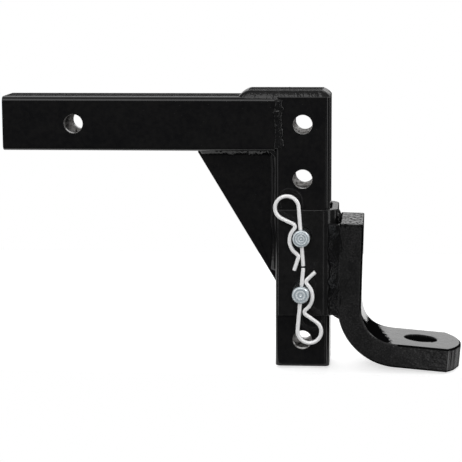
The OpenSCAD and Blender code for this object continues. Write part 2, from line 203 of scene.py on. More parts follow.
# Hole through a wall: a ring of radial lines from the hole's rim to its cell's border on each skin, and
# between them the hole's own wall with rounded rims. Rows go from the outer skin's border inwards.
def holeGrids(borderOut, borderIn, centre, r, depthOut, depthIn, soft, place, bare=1.0, shadeShare=0.0):
    angleOut = np.unwrap(np.arctan2(borderOut[:, 1] - centre[1], borderOut[:, 0] - centre[0]))
    angleIn = np.unwrap(np.arctan2(borderIn[:, 1] - centre[1], borderIn[:, 0] - centre[0]))
    angleIn += 2 * np.pi * np.round((angleOut[0] - angleIn[0]) / (2 * np.pi))

    def ring(angle, radius):
        return np.stack([centre[0] + radius * np.cos(angle), centre[1] + radius * np.sin(angle)], -1)

    def atDepth(points, depth):
        return place(points[..., 0], np.broadcast_to(depth, points.shape[:2]), points[..., 1])

    share = np.array(hole["rings"])[:, None, None]
    skinOut = lerp(ring(angleOut, r + soft), borderOut, share)
    skinIn = lerp(ring(angleIn, r + soft), borderIn, share)
    inset, deep = quarterRound(soft, hole["rimSteps"])
    inward = np.sign(depthIn - depthOut)
    near, far = depthOut + inward * deep, depthIn - inward * deep
    between = np.linspace(0, 1, hole["wallSteps"] + 1)[1:-1]
    radius = np.concatenate([r + inset, r + 0 * between, (r + inset)[::-1]])[:, None]
    depth = np.concatenate([near, lerp(near[-1], far[-1], between), far[::-1]])[:, None]
    wall = ring(lerp(angleOut, angleIn, np.linspace(0, 1, len(depth))[:, None]), radius)
    bareWall = np.interp(np.arange(len(depth)), range(len(hole["bareRim"])), hole["bareRim"])[:, None]
    bareIn = lerp(1.0, hole["bareFade"], share[..., 0] ** 2)
    # Deeper into the wall than a set depth, the hole's wall takes painted shade where it is asked for.
    shadeInHole = np.clip(abs(depth - depthOut) - hole["shadeFrom"], 0, 1)
    return [grid(atDepth(skinOut, depthOut), joinCols=True),
            grid(atDepth(wall, depth), joinCols=True, bare=bare * bareWall, shadeShare=shadeShare * shadeInHole),
            grid(atDepth(skinIn, depthIn), joinCols=True, bare=bare * bareIn)]


# Border of a cell between two places along the flat and two stations, once round.
def cellBorder(flatRun, stationRun):
    low = np.stack([flatRun[:-1], np.full(len(flatRun) - 1, stationRun[0])], 1)
    right = np.stack([np.full(len(stationRun) - 1, flatRun[-1]), stationRun[:-1]], 1)
    high = np.stack([flatRun[:0:-1], np.full(len(flatRun) - 1, stationRun[-1])], 1)
    left = np.stack([np.full(len(stationRun) - 1, flatRun[0]), stationRun[:0:-1]], 1)
    return np.concatenate([low, right, high, left])


# Plate with a convex outline: rings from its middle out over a rounded edge, down its side and back.
def plateGrid(outlineAt, thickness, soft, place):
    inset, deep = quarterRound(soft, rimSteps)
    rings = [outlineAt(d) for d in np.concatenate([inset, inset[::-1]])]
    caps = [lerp(rings[0].mean(0), rings[0], share) for share in capRings]
    rows = np.stack(caps + rings + caps[::-1])
    flat = np.zeros(len(capRings))
    depth = np.concatenate([flat, deep, (thickness - deep)[::-1], flat + thickness])[:, None]
    return grid(place(rows[..., 0], np.broadcast_to(depth, rows.shape[:2]), rows[..., 1]), joinCols=True)


# Convex polygon moved inwards by a distance, side by side, then with every side split evenly.
def insetPolygon(corners, d, split):
    p = np.asarray(corners, float)
    side = np.roll(p, -1, 0) - p
    inward = np.stack([-side[:, 1], side[:, 0]], 1) / np.linalg.norm(side, axis=1)[:, None]
    inward *= np.sign(((p.mean(0) - p) * inward).sum(1))[:, None]
    moved = p + inward * d
    lastMoved, lastSide = np.roll(moved, 1, 0), np.roll(side, 1, 0)
    gap = moved - lastMoved
    cross = lastSide[:, 0] * side[:, 1] - lastSide[:, 1] * side[:, 0]
    t = (gap[:, 0] * side[:, 1] - gap[:, 1] * side[:, 0]) / cross
    corner = lastMoved + lastSide * t[:, None]
    share = np.linspace(0, 1, split, endpoint=False)[None, :, None]
    return lerp(corner[:, None], np.roll(corner, -1, 0)[:, None], share).reshape(-1, 2)


# Weld bead. Across, it arches from one toe line to the other; along, it rises and falls in laps that
# bow forward in the middle, its toes wander, and both ends run out round. The root line lies under it.
def beadGrid(toeA, toeB, root, out, look, seed):
    run = np.concatenate([[0], np.cumsum(np.linalg.norm(np.diff((toeA + toeB) / 2, axis=0), axis=1))])
    swells = max(run[-1] / look["swell"], 1)

    def drift(nth, waves=look["waves"]):
        return wander(run / run[-1], seed + nth, waves, swells)[:, None]

    across = (toeB - toeA) / np.linalg.norm(toeB - toeA, axis=1, keepdims=True)
    toeA = toeA + across * look["stray"] * drift(0)
    toeB = toeB + across * look["stray"] * drift(1)
    v = np.linspace(0, 1, look["across"] + 1)[None, :]
    arch = 4 * v * (1 - v)
    lap = run[:, None] / look["lap"] + look["lapStray"] * drift(2, 4) - look["bow"] * arch
    scale = np.abs(np.sin(np.pi * lap)) ** look["lapRound"] - look["lapMean"]
    rough = look["ripple"] * scale + look["lump"] * lerp(drift(3), drift(4), v)
    height = look["crown"] * arch ** look["round"] + rough * arch ** look["roughRound"]
    points = lerp(toeA[:, None], toeB[:, None], v[..., None]) + height[..., None] * out[:, None]
    points = np.concatenate([points, root[:, None]], 1)
    if look["taper"]:
        fromEnd = np.clip(np.minimum(run, run[-1] - run) / look["taper"], 0, 1)
        points = lerp(root[:, None], points, np.sqrt(1 - (1 - fromEnd) ** 2)[:, None, None])
    return points


# Finishes. Noise scales are per metre, and depths of bumps are in metres.

# Adds a node. Each of its values is a number, a colour or a place, or the output of another node.
def addNode(tree, kind, values):
    n = tree.nodes.new("ShaderNode" + kind)
    for key, x in values.items():
        socket = n.inputs[key]
        if isinstance(x, bpy.types.NodeSocket):
            tree.links.new(x, socket)
        else:
            socket.default_value = (*x, 1) if socket.type == "RGBA" else x
    return n


def objectPlace(tree):
    return addNode(tree, "TexCoord", {}).outputs["Object"]


def shareNode(tree, label):
    n = addNode(tree, "Attribute", {})
    n.attribute_name = label
    return n.outputs["Fac"]


def mappedNode(tree, vector, key, value):
    return addNode(tree, "Mapping", {"Vector": vector, key: value}).outputs[0]


def noiseNode(tree, vector, scale, detail):
    return addNode(tree, "TexNoise", {"Vector": vector, "Scale": scale, "Detail": detail}).outputs["Fac"]


def rampNode(tree, value, places, *colours):
    n = addNode(tree, "ValToRGB", {0: value})
    for stop, place, colour in zip(n.color_ramp.elements, places, colours):
        stop.position, stop.color = place, (*colour, 1)
    return n.outputs[0]


def rangeNode(tree, value, fromLow, fromHigh, toLow=0, toHigh=1):
    limits = {"From Min": fromLow, "From Max": fromHigh, "To Min": toLow, "To Max": toHigh}
    return addNode(tree, "MapRange", {"Value": value, **limits}).outputs[0]


def mathNode(tree, kind, *terms):
    n = addNode(tree, "Math", dict(enumerate(terms)))
    n.operation = kind
    return n.outputs[0]


def times(tree, a, b):
    return mathNode(tree, "MULTIPLY", a, b)


def mixColour(tree, share, a, b, blend="MIX"):
    n = addNode(tree, "Mix", {0: share, 6: a, 7: b})
    n.data_type, n.blend_type = "RGBA", blend
    return n.outputs[2]


def bumpNode(tree, height, distance, **before):
    return addNode(tree, "Bump", {"Height": height, "Distance": distance, **before}).outputs[0]


# Empties the node tree of a new material or world, and gives both.
def emptied(owner):
    owner.use_nodes = True
    owner.node_tree.nodes.clear()
    return owner, owner.node_tree


def paint(tree, values):
    shader = addNode(tree, "BsdfPrincipled", values)
    addNode(tree, "OutputMaterial", {"Surface": shader.outputs[0]})


# Coat colours, with the dead black of painted shade and the shares at which it sets in.
coat = dict(dark=(0.0036, 0.0036, 0.0040), light=(0.0060, 0.0059, 0.0060), mottle=(0.38, 0.62), cloud=34,
            speck=0.004, speckShare=0.6, rough=(0.07, 0.11), hazy=120, peelSize=0.0035, peelDepth=0.00003,
            drawn=(1, 1, 1), grain=1500, grainDepth=0.000004, gloss=0.5, ior=1.5, ragged=330, raggedBy=0.9,
            shadeAt=(0.84, 1.00), paintedShadeBlack=(0.0026, 0.0026, 0.0027), thin=260, thinAt=(0.30, 0.44), stain=500,
            stainDark=(0.25, 0.235, 0.225), stainLight=(0.58, 0.57, 0.56))


# Black stoved paint over steel: nearly black and mottled, with soft orange peel and a finer grain. Its
# patches of painted shade are dead black with ragged borders and no gloss. Inside the holes it is thin, and
# stained steel shows.
def blackCoat(name, **change):
    look = {**coat, **change}
    m, tree = emptied(bpy.data.materials.new(name))
    at = objectPlace(tree)

    def noise(key):
        return noiseNode(tree, at, look[key], 3)

    cloud = times(tree, noise("cloud"), 1 - look["speckShare"])
    specks = times(tree, noiseNode(tree, at, 1 / look["speck"], 3), look["speckShare"])
    body = rampNode(tree, mathNode(tree, "ADD", cloud, specks), look["mottle"], look["dark"], look["light"])
    # Painted shade: where the mesh's share plus ragged noise passes the threshold, the colour turns dead
    # black and the gloss goes.
    border = times(tree, noise("ragged"), look["raggedBy"])
    shadeShare = rangeNode(tree, mathNode(tree, "ADD", shareNode(tree, "paintedShade"), border), *look["shadeAt"])
    painted = mixColour(tree, shadeShare, body, look["paintedShadeBlack"])
    thin = rangeNode(tree, noise("thin"), *look["thinAt"])
    bare = times(tree, shareNode(tree, "bareSteel"), thin)
    stain = rampNode(tree, noise("stain"), (0.35, 0.65), look["stainDark"], look["stainLight"])
    peel = noiseNode(tree, mappedNode(tree, at, "Scale", look["drawn"]), 1 / look["peelSize"], 1.5)
    grain, peeled = noiseNode(tree, at, look["grain"], 2), bumpNode(tree, peel, look["peelDepth"])
    paint(tree, {"Base Color": mixColour(tree, bare, painted, stain), "IOR": look["ior"],
                 "Roughness": rangeNode(tree, noise("hazy"), 0.3, 0.7, *look["rough"]),
                 "Specular IOR Level": rangeNode(tree, shadeShare, 0, 1, look["gloss"], 0),
                 "Normal": bumpNode(tree, grain, look["grainDepth"], Normal=peeled)})
    return m


tubeCoat = blackCoat("tubeCoat")
sliderCoat = blackCoat("sliderCoat", dark=(0.0048, 0.0048, 0.0050), light=(0.0080, 0.0079, 0.0080),
                       rough=(0.12, 0.20), peelSize=0.0030, peelDepth=0.00006, grainDepth=0.000005)
barCoat = blackCoat("barCoat", dark=(0.0058, 0.0058, 0.0060), light=(0.0170, 0.0169, 0.0170), speck=0.0013,
                    rough=(0.07, 0.12), peelSize=0.0025, peelDepth=0.00022, grainDepth=0.000014,
                    drawn=(0.5, 0.3, 1))
weldCoat = blackCoat("weldCoat", dark=(0.0024, 0.0024, 0.0026), light=(0.0080, 0.0080, 0.0082), speck=0.0016,
                     rough=(0.08, 0.16), peelSize=0.0017, peelDepth=0.00018, grainDepth=0.000012)
seamCoat = blackCoat("seamCoat", dark=(0.0022, 0.0022, 0.0024), light=(0.0075, 0.0075, 0.0077), speck=0.0016,
                     rough=(0.08, 0.14), peelSize=0.0026, peelDepth=0.00045, grainDepth=0.000012)
rootCoat = blackCoat("rootCoat", dark=(0.0025, 0.0025, 0.0028), light=(0.0070, 0.0070, 0.0072), speck=0.0015,
                     rough=(0.30, 0.45), ior=1.22, peelSize=0.0015, peelDepth=0.00024, grainDepth=0.000015)

zinc = dict(dark=(0.63, 0.69, 0.72), light=(0.86, 0.91, 0.94), groove=(0.52, 0.56, 0.59), ridge=(1, 1, 1),
            shaft=(0.60, 0.63, 0.65), headMetal=0.45, rough=(0.20, 0.32), cloud=300, grain=900,
            grainDepth=0.00003)


# Bright zinc on turned steel: fine rings about the pin's axis in a cloudy blue-white, and a brighter shaft.
def zincFinish(name, axisX, axisZ, ringPitch, ringDepth):
    m, tree = emptied(bpy.data.materials.new(name))
    at = mappedNode(tree, objectPlace(tree), "Location", (-axisX * 0.001, 0, -axisZ * 0.001))
    part = addNode(tree, "SeparateXYZ", {0: at}).outputs
    squares = [times(tree, part[i], part[i]) for i in (0, 2)]
    r = mathNode(tree, "SQRT", mathNode(tree, "ADD", *squares))
    wave = mathNode(tree, "SINE", times(tree, r, 2 * math.pi / ringPitch))
    cloud = noiseNode(tree, at, zinc["cloud"], 3)
    body = rampNode(tree, cloud, (0.3, 0.7), zinc["dark"], zinc["light"])
    rings = rampNode(tree, rangeNode(tree, wave, -1, 1), (0.25, 0.75), zinc["groove"], zinc["ridge"])
    head = mixColour(tree, 1.0, body, rings, "MULTIPLY")
    shaft = shareNode(tree, "brightShaft")
    grain, turned = noiseNode(tree, at, zinc["grain"], 2), bumpNode(tree, wave, ringDepth)
    paint(tree, {"Base Color": mixColour(tree, shaft, head, zinc["shaft"]),
                 "Metallic": rangeNode(tree, shaft, 0, 1, zinc["headMetal"], 1),
                 "Roughness": rangeNode(tree, cloud, 0.3, 0.7, *zinc["rough"]),
                 "Normal": bumpNode(tree, grain, zinc["grainDepth"], Normal=turned)})
    return m


wire = dict(dark=(0.90, 0.90, 0.905), light=(1.0, 1.0, 1.0), metal=0.42, rough=(0.30, 0.42), cloud=220,
            haze=700, grain=1100, grainDepth=0.00004)


# Zinc on drawn spring wire: satin pale grey, faintly cloudy, with a fine grain.
def wireFinish():
    m, tree = emptied(bpy.data.materials.new("springWire"))
    at = objectPlace(tree)
    cloud, haze, grain = (noiseNode(tree, at, wire[key], detail)
                          for key, detail in (("cloud", 3), ("haze", 2), ("grain", 2)))
    paint(tree, {"Base Color": rampNode(tree, cloud, (0.3, 0.7), wire["dark"], wire["light"]),
                 "Metallic": wire["metal"],
                 "Roughness": rangeNode(tree, haze, 0.3, 0.7, *wire["rough"]),
                 "Normal": bumpNode(tree, grain, wire["grainDepth"])})
    return m


# Mast: shank and column

tube = dict(width=50.8, wall=6.35, corner=4.8, inner=2.0, soft=0.7, rim=0.5, holeD=17.5, flats=16, arcs=9,
            cell=13.0, skinBare=0.2, shankEnd=-67.5, columnX=214.5, columnFoot=-228.6, pitch=50.8, holes=5)
tubeHalf = tube["width"] / 2
columnFace = tube["columnX"] - tubeHalf
columnHoles = [-tube["pitch"] * i for i in range(tube["holes"])]


# Square tube: the outer and the inner rounded square carried along the tube, with holes through both sides.
def squareTube(start, end, holes, place, bare):
    wall, flats, arcs = tube["wall"], tube["flats"], tube["arcs"]
    outer = roundedLoop(tubeHalf, tubeHalf, tube["corner"], flats, arcs)
    inner = roundedLoop(tubeHalf - wall, tubeHalf - wall, tube["inner"], flats, arcs)
    stations = memberStations(start, end, tube["soft"], holes, tube["cell"], flats)
    places, shares = wallRows(stations, wall, tube["soft"])
    section = lerp(outer, inner, shares[:, None, None])
    keep = np.ones((len(places), len(outer)), bool)
    parts = []
    for at in holes:
        for side, firstCol in ((-1, 0), (1, 2 * (flats + arcs))):
            run = cutCell(keep, stations, at - tube["cell"], firstCol, flats)
            borders = [cellBorder(skin[:flats + 1, 0], run) for skin in (outer, inner)]
            parts += holeGrids(*borders, (0, at), tube["holeD"] / 2, side * tubeHalf,
                               side * (tubeHalf - wall), tube["rim"], place, bare)
    points = place(section[..., 0], section[..., 1], np.broadcast_to(places[:, None], section.shape[:2]))
    bareInside = tube["skinBare"] * (shares[:, None] > 0.999)
    return [grid(points, joinRows=True, joinCols=True, keep=keep, bare=bareInside)] + parts


shank = squareTube(tube["shankEnd"], columnFace, [0.0], lambda a, y, s: np.stack([s, y, a], -1), 0.5)
makePiece("shankTube", shank, tubeCoat, "mast", "shank_tube")
column = squareTube(tube["columnFoot"], tubeHalf, columnHoles,
                    lambda a, y, s: np.stack([a + tube["columnX"], y, s], -1), 1.0)
makePiece("columnTube", column, tubeCoat, "mast", "column_tube")

# Mast: top plate and gusset

topPlate = dict(centre=(197.9, 0), half=(35, 20), corner=2.6, thick=6.0, soft=1.0, flats=12, arcs=6)
gusset = dict(thick=9.5, soft=0.8, split=12, corners=[
    (columnFace, -tubeHalf), (114.7, -tubeHalf), (114.7, -28.4), (columnFace - 0.8, -151.1),
    (columnFace, -151.1)])


def topPlateOutline(d):
    halfX, halfY = topPlate["half"]
    loop = roundedLoop(halfX - d, halfY - d, topPlate["corner"] - d, topPlate["flats"], topPlate["arcs"])
    return loop + topPlate["centre"]


lid = plateGrid(topPlateOutline, topPlate["thick"], topPlate["soft"],
                lambda a, depth, b: np.stack([a, b, tubeHalf + depth], -1))
makePiece("topPlate", [lid], tubeCoat, "mast", "top_plate")
web = plateGrid(lambda d: insetPolygon(gusset["corners"], d, gusset["split"]), gusset["thick"],
                gusset["soft"], lambda a, depth, b: np.stack([a, depth - gusset["thick"] / 2, b], -1))
makePiece("gussetPlate", [web], tubeCoat, "mast", "gusset_plate")

# Welds of the mast. A bead's values are its height and shape, its roughness, the length of its laps and
# swells, and how its ends run out; each weld changes some of them.

bead = dict(crown=0.5, round=0.8, ripple=0.06, lump=0.22, roughRound=0.6, stray=0.4, lap=3.4, lapStray=0.25,
            lapRound=0.7, lapMean=0.62, bow=0.6, taper=3.0, swell=22, waves=6, across=16, shadeShare=0.0,
            coat=weldCoat)
shankSeam = dict(z=(-23.6, 23.6), steps=170, look=dict(
    crown=1.6, round=0.5, stray=1.0, lump=0.42, ripple=0.10, lap=5.5, swell=34, coat=seamCoat))
shankLines = ((188.0, 0), (196.4, 0), (191.0, 2.2))  # toes and root: x, and how deep in the wall
fillet = dict(leg=6.2, sink=0.25)
underSeam = dict(y=(10.2, 21.0), lift=0.2, taper=2.0, steps=50)
gussetSeam = dict(shankX=(116.5, 185.0), columnZ=(-141.5, -tubeHalf), shankSteps=240, columnSteps=380,
                  shankLook=dict(ripple=0.0, lap=7, lump=0.25, stray=1.3, waves=7, coat=tubeCoat),
                  columnLook=dict(ripple=0.0, lap=8, lump=0.06, stray=0.7, swell=60, waves=3, coat=tubeCoat))
frontAndRear = ((-1, "Front"), (1, "Rear"))


def makeWeld(name, grids, look, body, node):
    makePiece(name, grids, look["coat"], body, node, sharpAngle=None, weighted=False)


def weldBead(name, toeA, toeB, root, out, node, body, seed, **change):
    look = {**bead, **change}
    out = np.broadcast_to(np.array(out, float) / np.linalg.norm(out), toeA.shape)
    points = beadGrid(toeA, toeB, root, out, look, seed)
    makeWeld(name, [grid(points, joinCols=True, shadeShare=look["shadeShare"])], look, body, node)


# Fillet in a corner: the root line moved along both legs gives the toes, and the bead bulges between them.
def filletBead(name, rootA, rootB, legA, legB, node, seed, steps, **change):
    legA, legB = np.array(legA, float), np.array(legB, float)
    root = lineOf(rootA, rootB, steps) - (legA + legB) * fillet["sink"]
    weldBead(name, root + legA * fillet["leg"], root + legB * fillet["leg"], root, legA + legB, node, "mast",
             seed, **change)


for side, word in frontAndRear:
    y, (low, high) = side * tubeHalf, shankSeam["z"]
    toeA, toeB, root = (lineOf((x, y - side * sink, low), (x, y - side * sink, high), shankSeam["steps"])
                        for x, sink in shankLines)
    weldBead("shankWeld" + word, toeA, toeB, root, (0, side, 0), "shank_weld_" + word.lower(), "mast",
             11 + side, **shankSeam["look"])

under = []
for side, word in frontAndRear:
    ends = [(columnFace, side * y, -tubeHalf) for y in underSeam["y"]]
    root = lineOf(*ends, underSeam["steps"])
    out = np.broadcast_to(np.array([-1, 0, -1]) / math.sqrt(2), root.shape)
    under.append(grid(beadGrid(root - [fillet["leg"], 0, 0], root - [0, 0, fillet["leg"]],
                               root + [underSeam["lift"], 0, underSeam["lift"]], out,
                               {**bead, "taper": underSeam["taper"]}, 31 + side), joinCols=True))
makeWeld("shankWeldUnder", under, bead, "mast", "shank_weld_under")

for side, word in frontAndRear:
    y, (x0, x1), (z0, z1) = side * gusset["thick"] / 2, gussetSeam["shankX"], gussetSeam["columnZ"]
    filletBead("gussetShankWeld" + word, (x0, y, -tubeHalf), (x1, y, -tubeHalf), (0, side, 0), (0, 0, -1),
               "gusset_shank_weld_" + word.lower(), 41 + side, gussetSeam["shankSteps"],
               **gussetSeam["shankLook"])
    filletBead("gussetColumnWeld" + word, (columnFace, y, z0), (columnFace, y, z1), (0, side, 0), (-1, 0, 0),
               "gusset_column_weld_" + word.lower(), 51 + side, gussetSeam["columnSteps"],
               **gussetSeam["columnLook"])

lidSeam = dict(topHalf=(34.2, 19.4), topCorner=2.2, topZ=31.1, footHalf=(42.5, 25.15), footCorner=5.5,
               footX=197.3, footZ=25.2, sideZ=19.6, sideFrom=20.6, sideOver=4.4, rootZ=24.0, rootShare=0.3,
               lift=0.9, flats=110, arcs=12, look=dict(
                   taper=0, crown=1.25, round=0.5, stray=0.35, ripple=0.04, lump=0.16, swell=16, waves=9))


# Bead round the top plate: one closed lap from the plate's upper edge to the tubes, deeper at the sides.
def lidBead():
    flats, arcs = lidSeam["flats"], lidSeam["arcs"]
    upper = roundedLoop(*lidSeam["topHalf"], lidSeam["topCorner"], flats, arcs) + topPlate["centre"]
    lower = roundedLoop(*lidSeam["footHalf"], lidSeam["footCorner"], flats, arcs) + (lidSeam["footX"], 0)
    onSide = np.clip((abs(lower[:, 1]) - lidSeam["sideFrom"]) / lidSeam["sideOver"], 0, 1)

    def withThird(points, third):
        return np.column_stack([points, np.broadcast_to(third, len(points))])

    toeA = withThird(upper, lidSeam["topZ"])
    toeB = withThird(lower, lerp(lidSeam["footZ"], lidSeam["sideZ"], onSide ** 1.5))
    root = withThird(lerp(upper, lower, lidSeam["rootShare"]), lidSeam["rootZ"])
    out = lower - upper
    out = withThird(out / np.linalg.norm(out, axis=1, keepdims=True), lidSeam["lift"])
    out /= np.linalg.norm(out, axis=1, keepdims=True)
    points = beadGrid(toeA, toeB, root, out, {**bead, **lidSeam["look"]}, 61)
    return grid(points, joinRows=True, joinCols=True)


makeWeld("topPlateWeld", [lidBead()], bead, "mast", "top_plate_weld")
print("mast done")

# Slider: the bent channel

slider = dict(z=(-178.525, -78.525), half=32.95, wall=6.35, webOut=247.45, free=192.05, bendIn=8.0, soft=0.9,
              rim=0.5, holes=[-153.925, -103.125], cell=13.0, flats=16, arcs=14, web=12, endSteps=4)


# Channel: the outer line of its section (flange, bend, web, bend, flange) and the inner line beside it,
# carried up the slider. The free edges close in a half round.
def bentChannel(place):
    flats, wall, soft, half = slider["flats"], slider["wall"], slider["soft"], slider["half"]
    bendX = slider["webOut"] - wall - slider["bendIn"]
    bendY = half - wall - slider["bendIn"]
    a = np.linspace(-np.pi / 2, 0, slider["arcs"] + 1)[1:-1]
    flange = np.linspace(slider["free"] + soft, bendX, flats + 1)

    def mirrored(points):
        return (points * [1, -1])[::-1]

    def line(r):
        lead = np.stack([flange, np.full(flats + 1, -bendY - r)], 1)
        arc = np.stack([bendX + r * np.cos(a), -bendY + r * np.sin(a)], 1)
        across = np.linspace(-bendY, bendY, slider["web"] + 1)
        web = np.stack([0 * across + bendX + r, across], 1)
        return np.concatenate([lead, arc, web, mirrored(arc), mirrored(lead)])

    outer, inner = line(slider["bendIn"] + wall), line(slider["bendIn"])
    inset, deep = quarterRound(soft, slider["endSteps"])
    tip = [slider["free"], (outer[0, 1] + inner[0, 1]) / 2]

    def closed(skin, other):
        inward = np.sign(other[0, 1] - skin[0, 1])
        end = np.concatenate([skin[0] + np.stack([inset[1:] - soft, inward * deep[1:]], 1), [tip]])[::-1]
        return np.concatenate([end, skin, mirrored(end)])

    outer, inner = closed(outer, inner), closed(inner, outer)
    stations = memberStations(*slider["z"], soft, slider["holes"], slider["cell"], flats)
    places, shares = wallRows(stations, wall, soft)
    section = lerp(outer, inner, shares[:, None, None])
    keep = np.ones((len(places), len(outer) - 1), bool)
    lead, parts = slider["endSteps"] + 1, []
    for at in slider["holes"]:
        for side, firstCol in ((-1, lead), (1, len(outer) - 1 - lead - flats)):
            run = cutCell(keep, stations, at - slider["cell"], firstCol, flats)
            border = cellBorder(flange, run)
            parts += holeGrids(border, border, (tube["columnX"], at), tube["holeD"] / 2, side * half,
                               side * (half - wall), slider["rim"], place, bare=0.0)
    points = place(section[..., 0], section[..., 1], np.broadcast_to(places[:, None], section.shape[:2]))
    return [grid(points, joinRows=True, keep=keep)] + parts


channel = bentChannel(lambda a, y, s: np.stack([a, y, s], -1))
makePiece("sliderChannel", channel, sliderCoat, "slider", "slider_channel")

# Slider: the bent bar that carries the ball. In the bend its inner face is thinned from front to rear.

bar = dict(width=76.2, thick=22.2, edge=2.0, bendR=36.0, lean=1.3, bend=86.6, rootZ=-166.525, rise=76.0,
           reach=61.6, tipR=62.0, holeD=31.2, holeToTip=38.4, holeSoft=0.6, flats=24, arcs=6, endSoft=1.0,
           tipSplit=300, thinned=(1.0, 1.7), straightSteps=9, bendSteps=48, endSteps=4, sawnFade=6.0,
           sawnShare=(0.49, 0.8), patchLow=(13, 34, 40), patchHigh=(80, 79, 57), patchFade=22,
           patchShare=(0.47, 0.53), patchRim=0.6, cornerUntil=20, cornerFrom=50, cornerFade=20,
           cornerClear=0.05)
cutLines = dict(depth=0.4, inward=0.9, fade=0.03, seed=91, waves=14, slowest=5)


# Point of the bar: x through its thickness from the back face and y across it, where the bar's path comes
# down at height z, has turned by an angle, or has gone on beyond the bend.
def barPoint(x, y, turn, z=0.0, beyond=0.0):
    outR = bar["thick"] + bar["bendR"]
    along = outR * (1 - np.cos(turn)) + beyond * np.sin(turn) + x * np.cos(turn)
    height = z - outR * np.sin(turn) - beyond * np.cos(turn) + x * np.sin(turn)
    across, up = tilted(along, height, -bar["lean"])
    return np.stack([slider["webOut"] + across, y + 0 * along, bar["rootZ"] + up], -1)


def barLoop(d=0.0):
    corner = max(bar["edge"] - d, 0.3)
    return roundedLoop(bar["thick"] / 2 - d, bar["width"] / 2 - d, corner, bar["flats"], bar["arcs"])


# Painted shade on the upright and the bend, dead black without gloss: a slanting patch on the bend's inner
# face that paints a dark reflection, the rounded corners above and below it as dark outlines, and specks on
# the sawn end that thicken towards the weld.
def paintedShadeOnBar(x, sweep, atEnd):
    halfT, halfW, edge = bar["thick"] / 2, bar["width"] / 2, bar["edge"]
    loopX, loopY = barLoop().T
    across = loopY / bar["width"] + 0.5
    low = np.interp(across, (0, 0.45, 1), bar["patchLow"])
    high = np.interp(across, (0, 0.2, 1), bar["patchHigh"])
    base, top = bar["patchShare"]
    patch = np.clip(np.minimum(sweep - low, high - sweep) / bar["patchFade"], -base, top) + base
    patch = patch * np.clip((loopX - halfT + bar["patchRim"]) / bar["patchRim"], 0, 1)
    onRounding = (abs(loopX) > halfT - edge) & (abs(loopY) > halfW - edge)
    atCorner = onRounding & (abs(loopX) < halfT - bar["cornerClear"])
    inside = np.clip((bar["cornerUntil"] - sweep) / bar["cornerFade"], 0, 1)
    outside = np.clip((sweep - bar["cornerFrom"]) / bar["cornerFade"], 0, 1)
    corner = atCorner * np.where(loopX > 0, inside, outside) * ~atEnd
    least, most = bar["sawnShare"]
    sawn = atEnd * np.clip(most - (x + halfT) / bar["sawnFade"], least, 1)
    return np.maximum(sawn, np.maximum(patch, corner))


# Upright and bend: the bar's rounded section, closed over the sawn end and carried down and round the bend.
def uprightAndBend():
    halfT, soft = bar["thick"] / 2, bar["endSoft"]
    inset, deep = quarterRound(soft, bar["endSteps"])
    ends = [barLoop(soft) * share for share in capRings] + [barLoop(d) for d in inset]
    straight = np.linspace(bar["rise"] - soft, 0, bar["straightSteps"] + 1)[1:]
    drop = np.concatenate([[bar["rise"]] * len(capRings), bar["rise"] - deep, straight])
    arc = np.linspace(0, math.radians(bar["bend"]), bar["bendSteps"] + 1)[1:]
    turn = np.concatenate([0 * drop, arc])[:, None]
    z = np.concatenate([drop, 0 * arc])[:, None]
    section = np.stack(ends + [barLoop()] * (len(turn) - len(ends)))
    x, y = section[..., 0], section[..., 1]
    thinned = bar["thinned"][0] + bar["thinned"][1] * (y / bar["width"] + 0.5)
    x = x - np.sin(np.pi * turn / arc[-1]) ** 2 * thinned * np.clip(x / halfT, 0, 1)
    shadeShare = paintedShadeOnBar(x, np.degrees(turn), (np.arange(len(turn)) < len(ends))[:, None])
    return grid(barPoint(x + halfT, y, turn, z), joinCols=True, shadeShare=shadeShare)


# Sides, kink and rounded tip of the platform, moved inwards by d: from the front's bend line round to the
# rear's. Fine cut lines run down the tip.
def platformOutline(d):
    half, r, edge = bar["width"] / 2 - d, bar["tipR"] - d, bar["edge"]
    tipAt, kink = bar["reach"] - bar["tipR"], math.asin(half / r)
    run = np.linspace(0, tipAt + r * math.cos(kink), bar["flats"] + 1)[:-1]
    side = np.stack([run, 0 * run - half], 1)
    a = np.linspace(-kink, kink, bar["tipSplit"] + 1)
    fade = np.clip((edge - d) / edge, 0, 1) * np.clip((kink - abs(a)) / cutLines["fade"], 0, 1)
    rough = wander((a + kink) / (2 * kink), cutLines["seed"], cutLines["waves"], cutLines["slowest"])
    cut = r + cutLines["depth"] * fade * (rough - cutLines["inward"])
    arc = np.stack([tipAt + cut * np.cos(a), cut * np.sin(a)], 1)
    return np.concatenate([side, arc, (side * [1, -1])[::-1]])


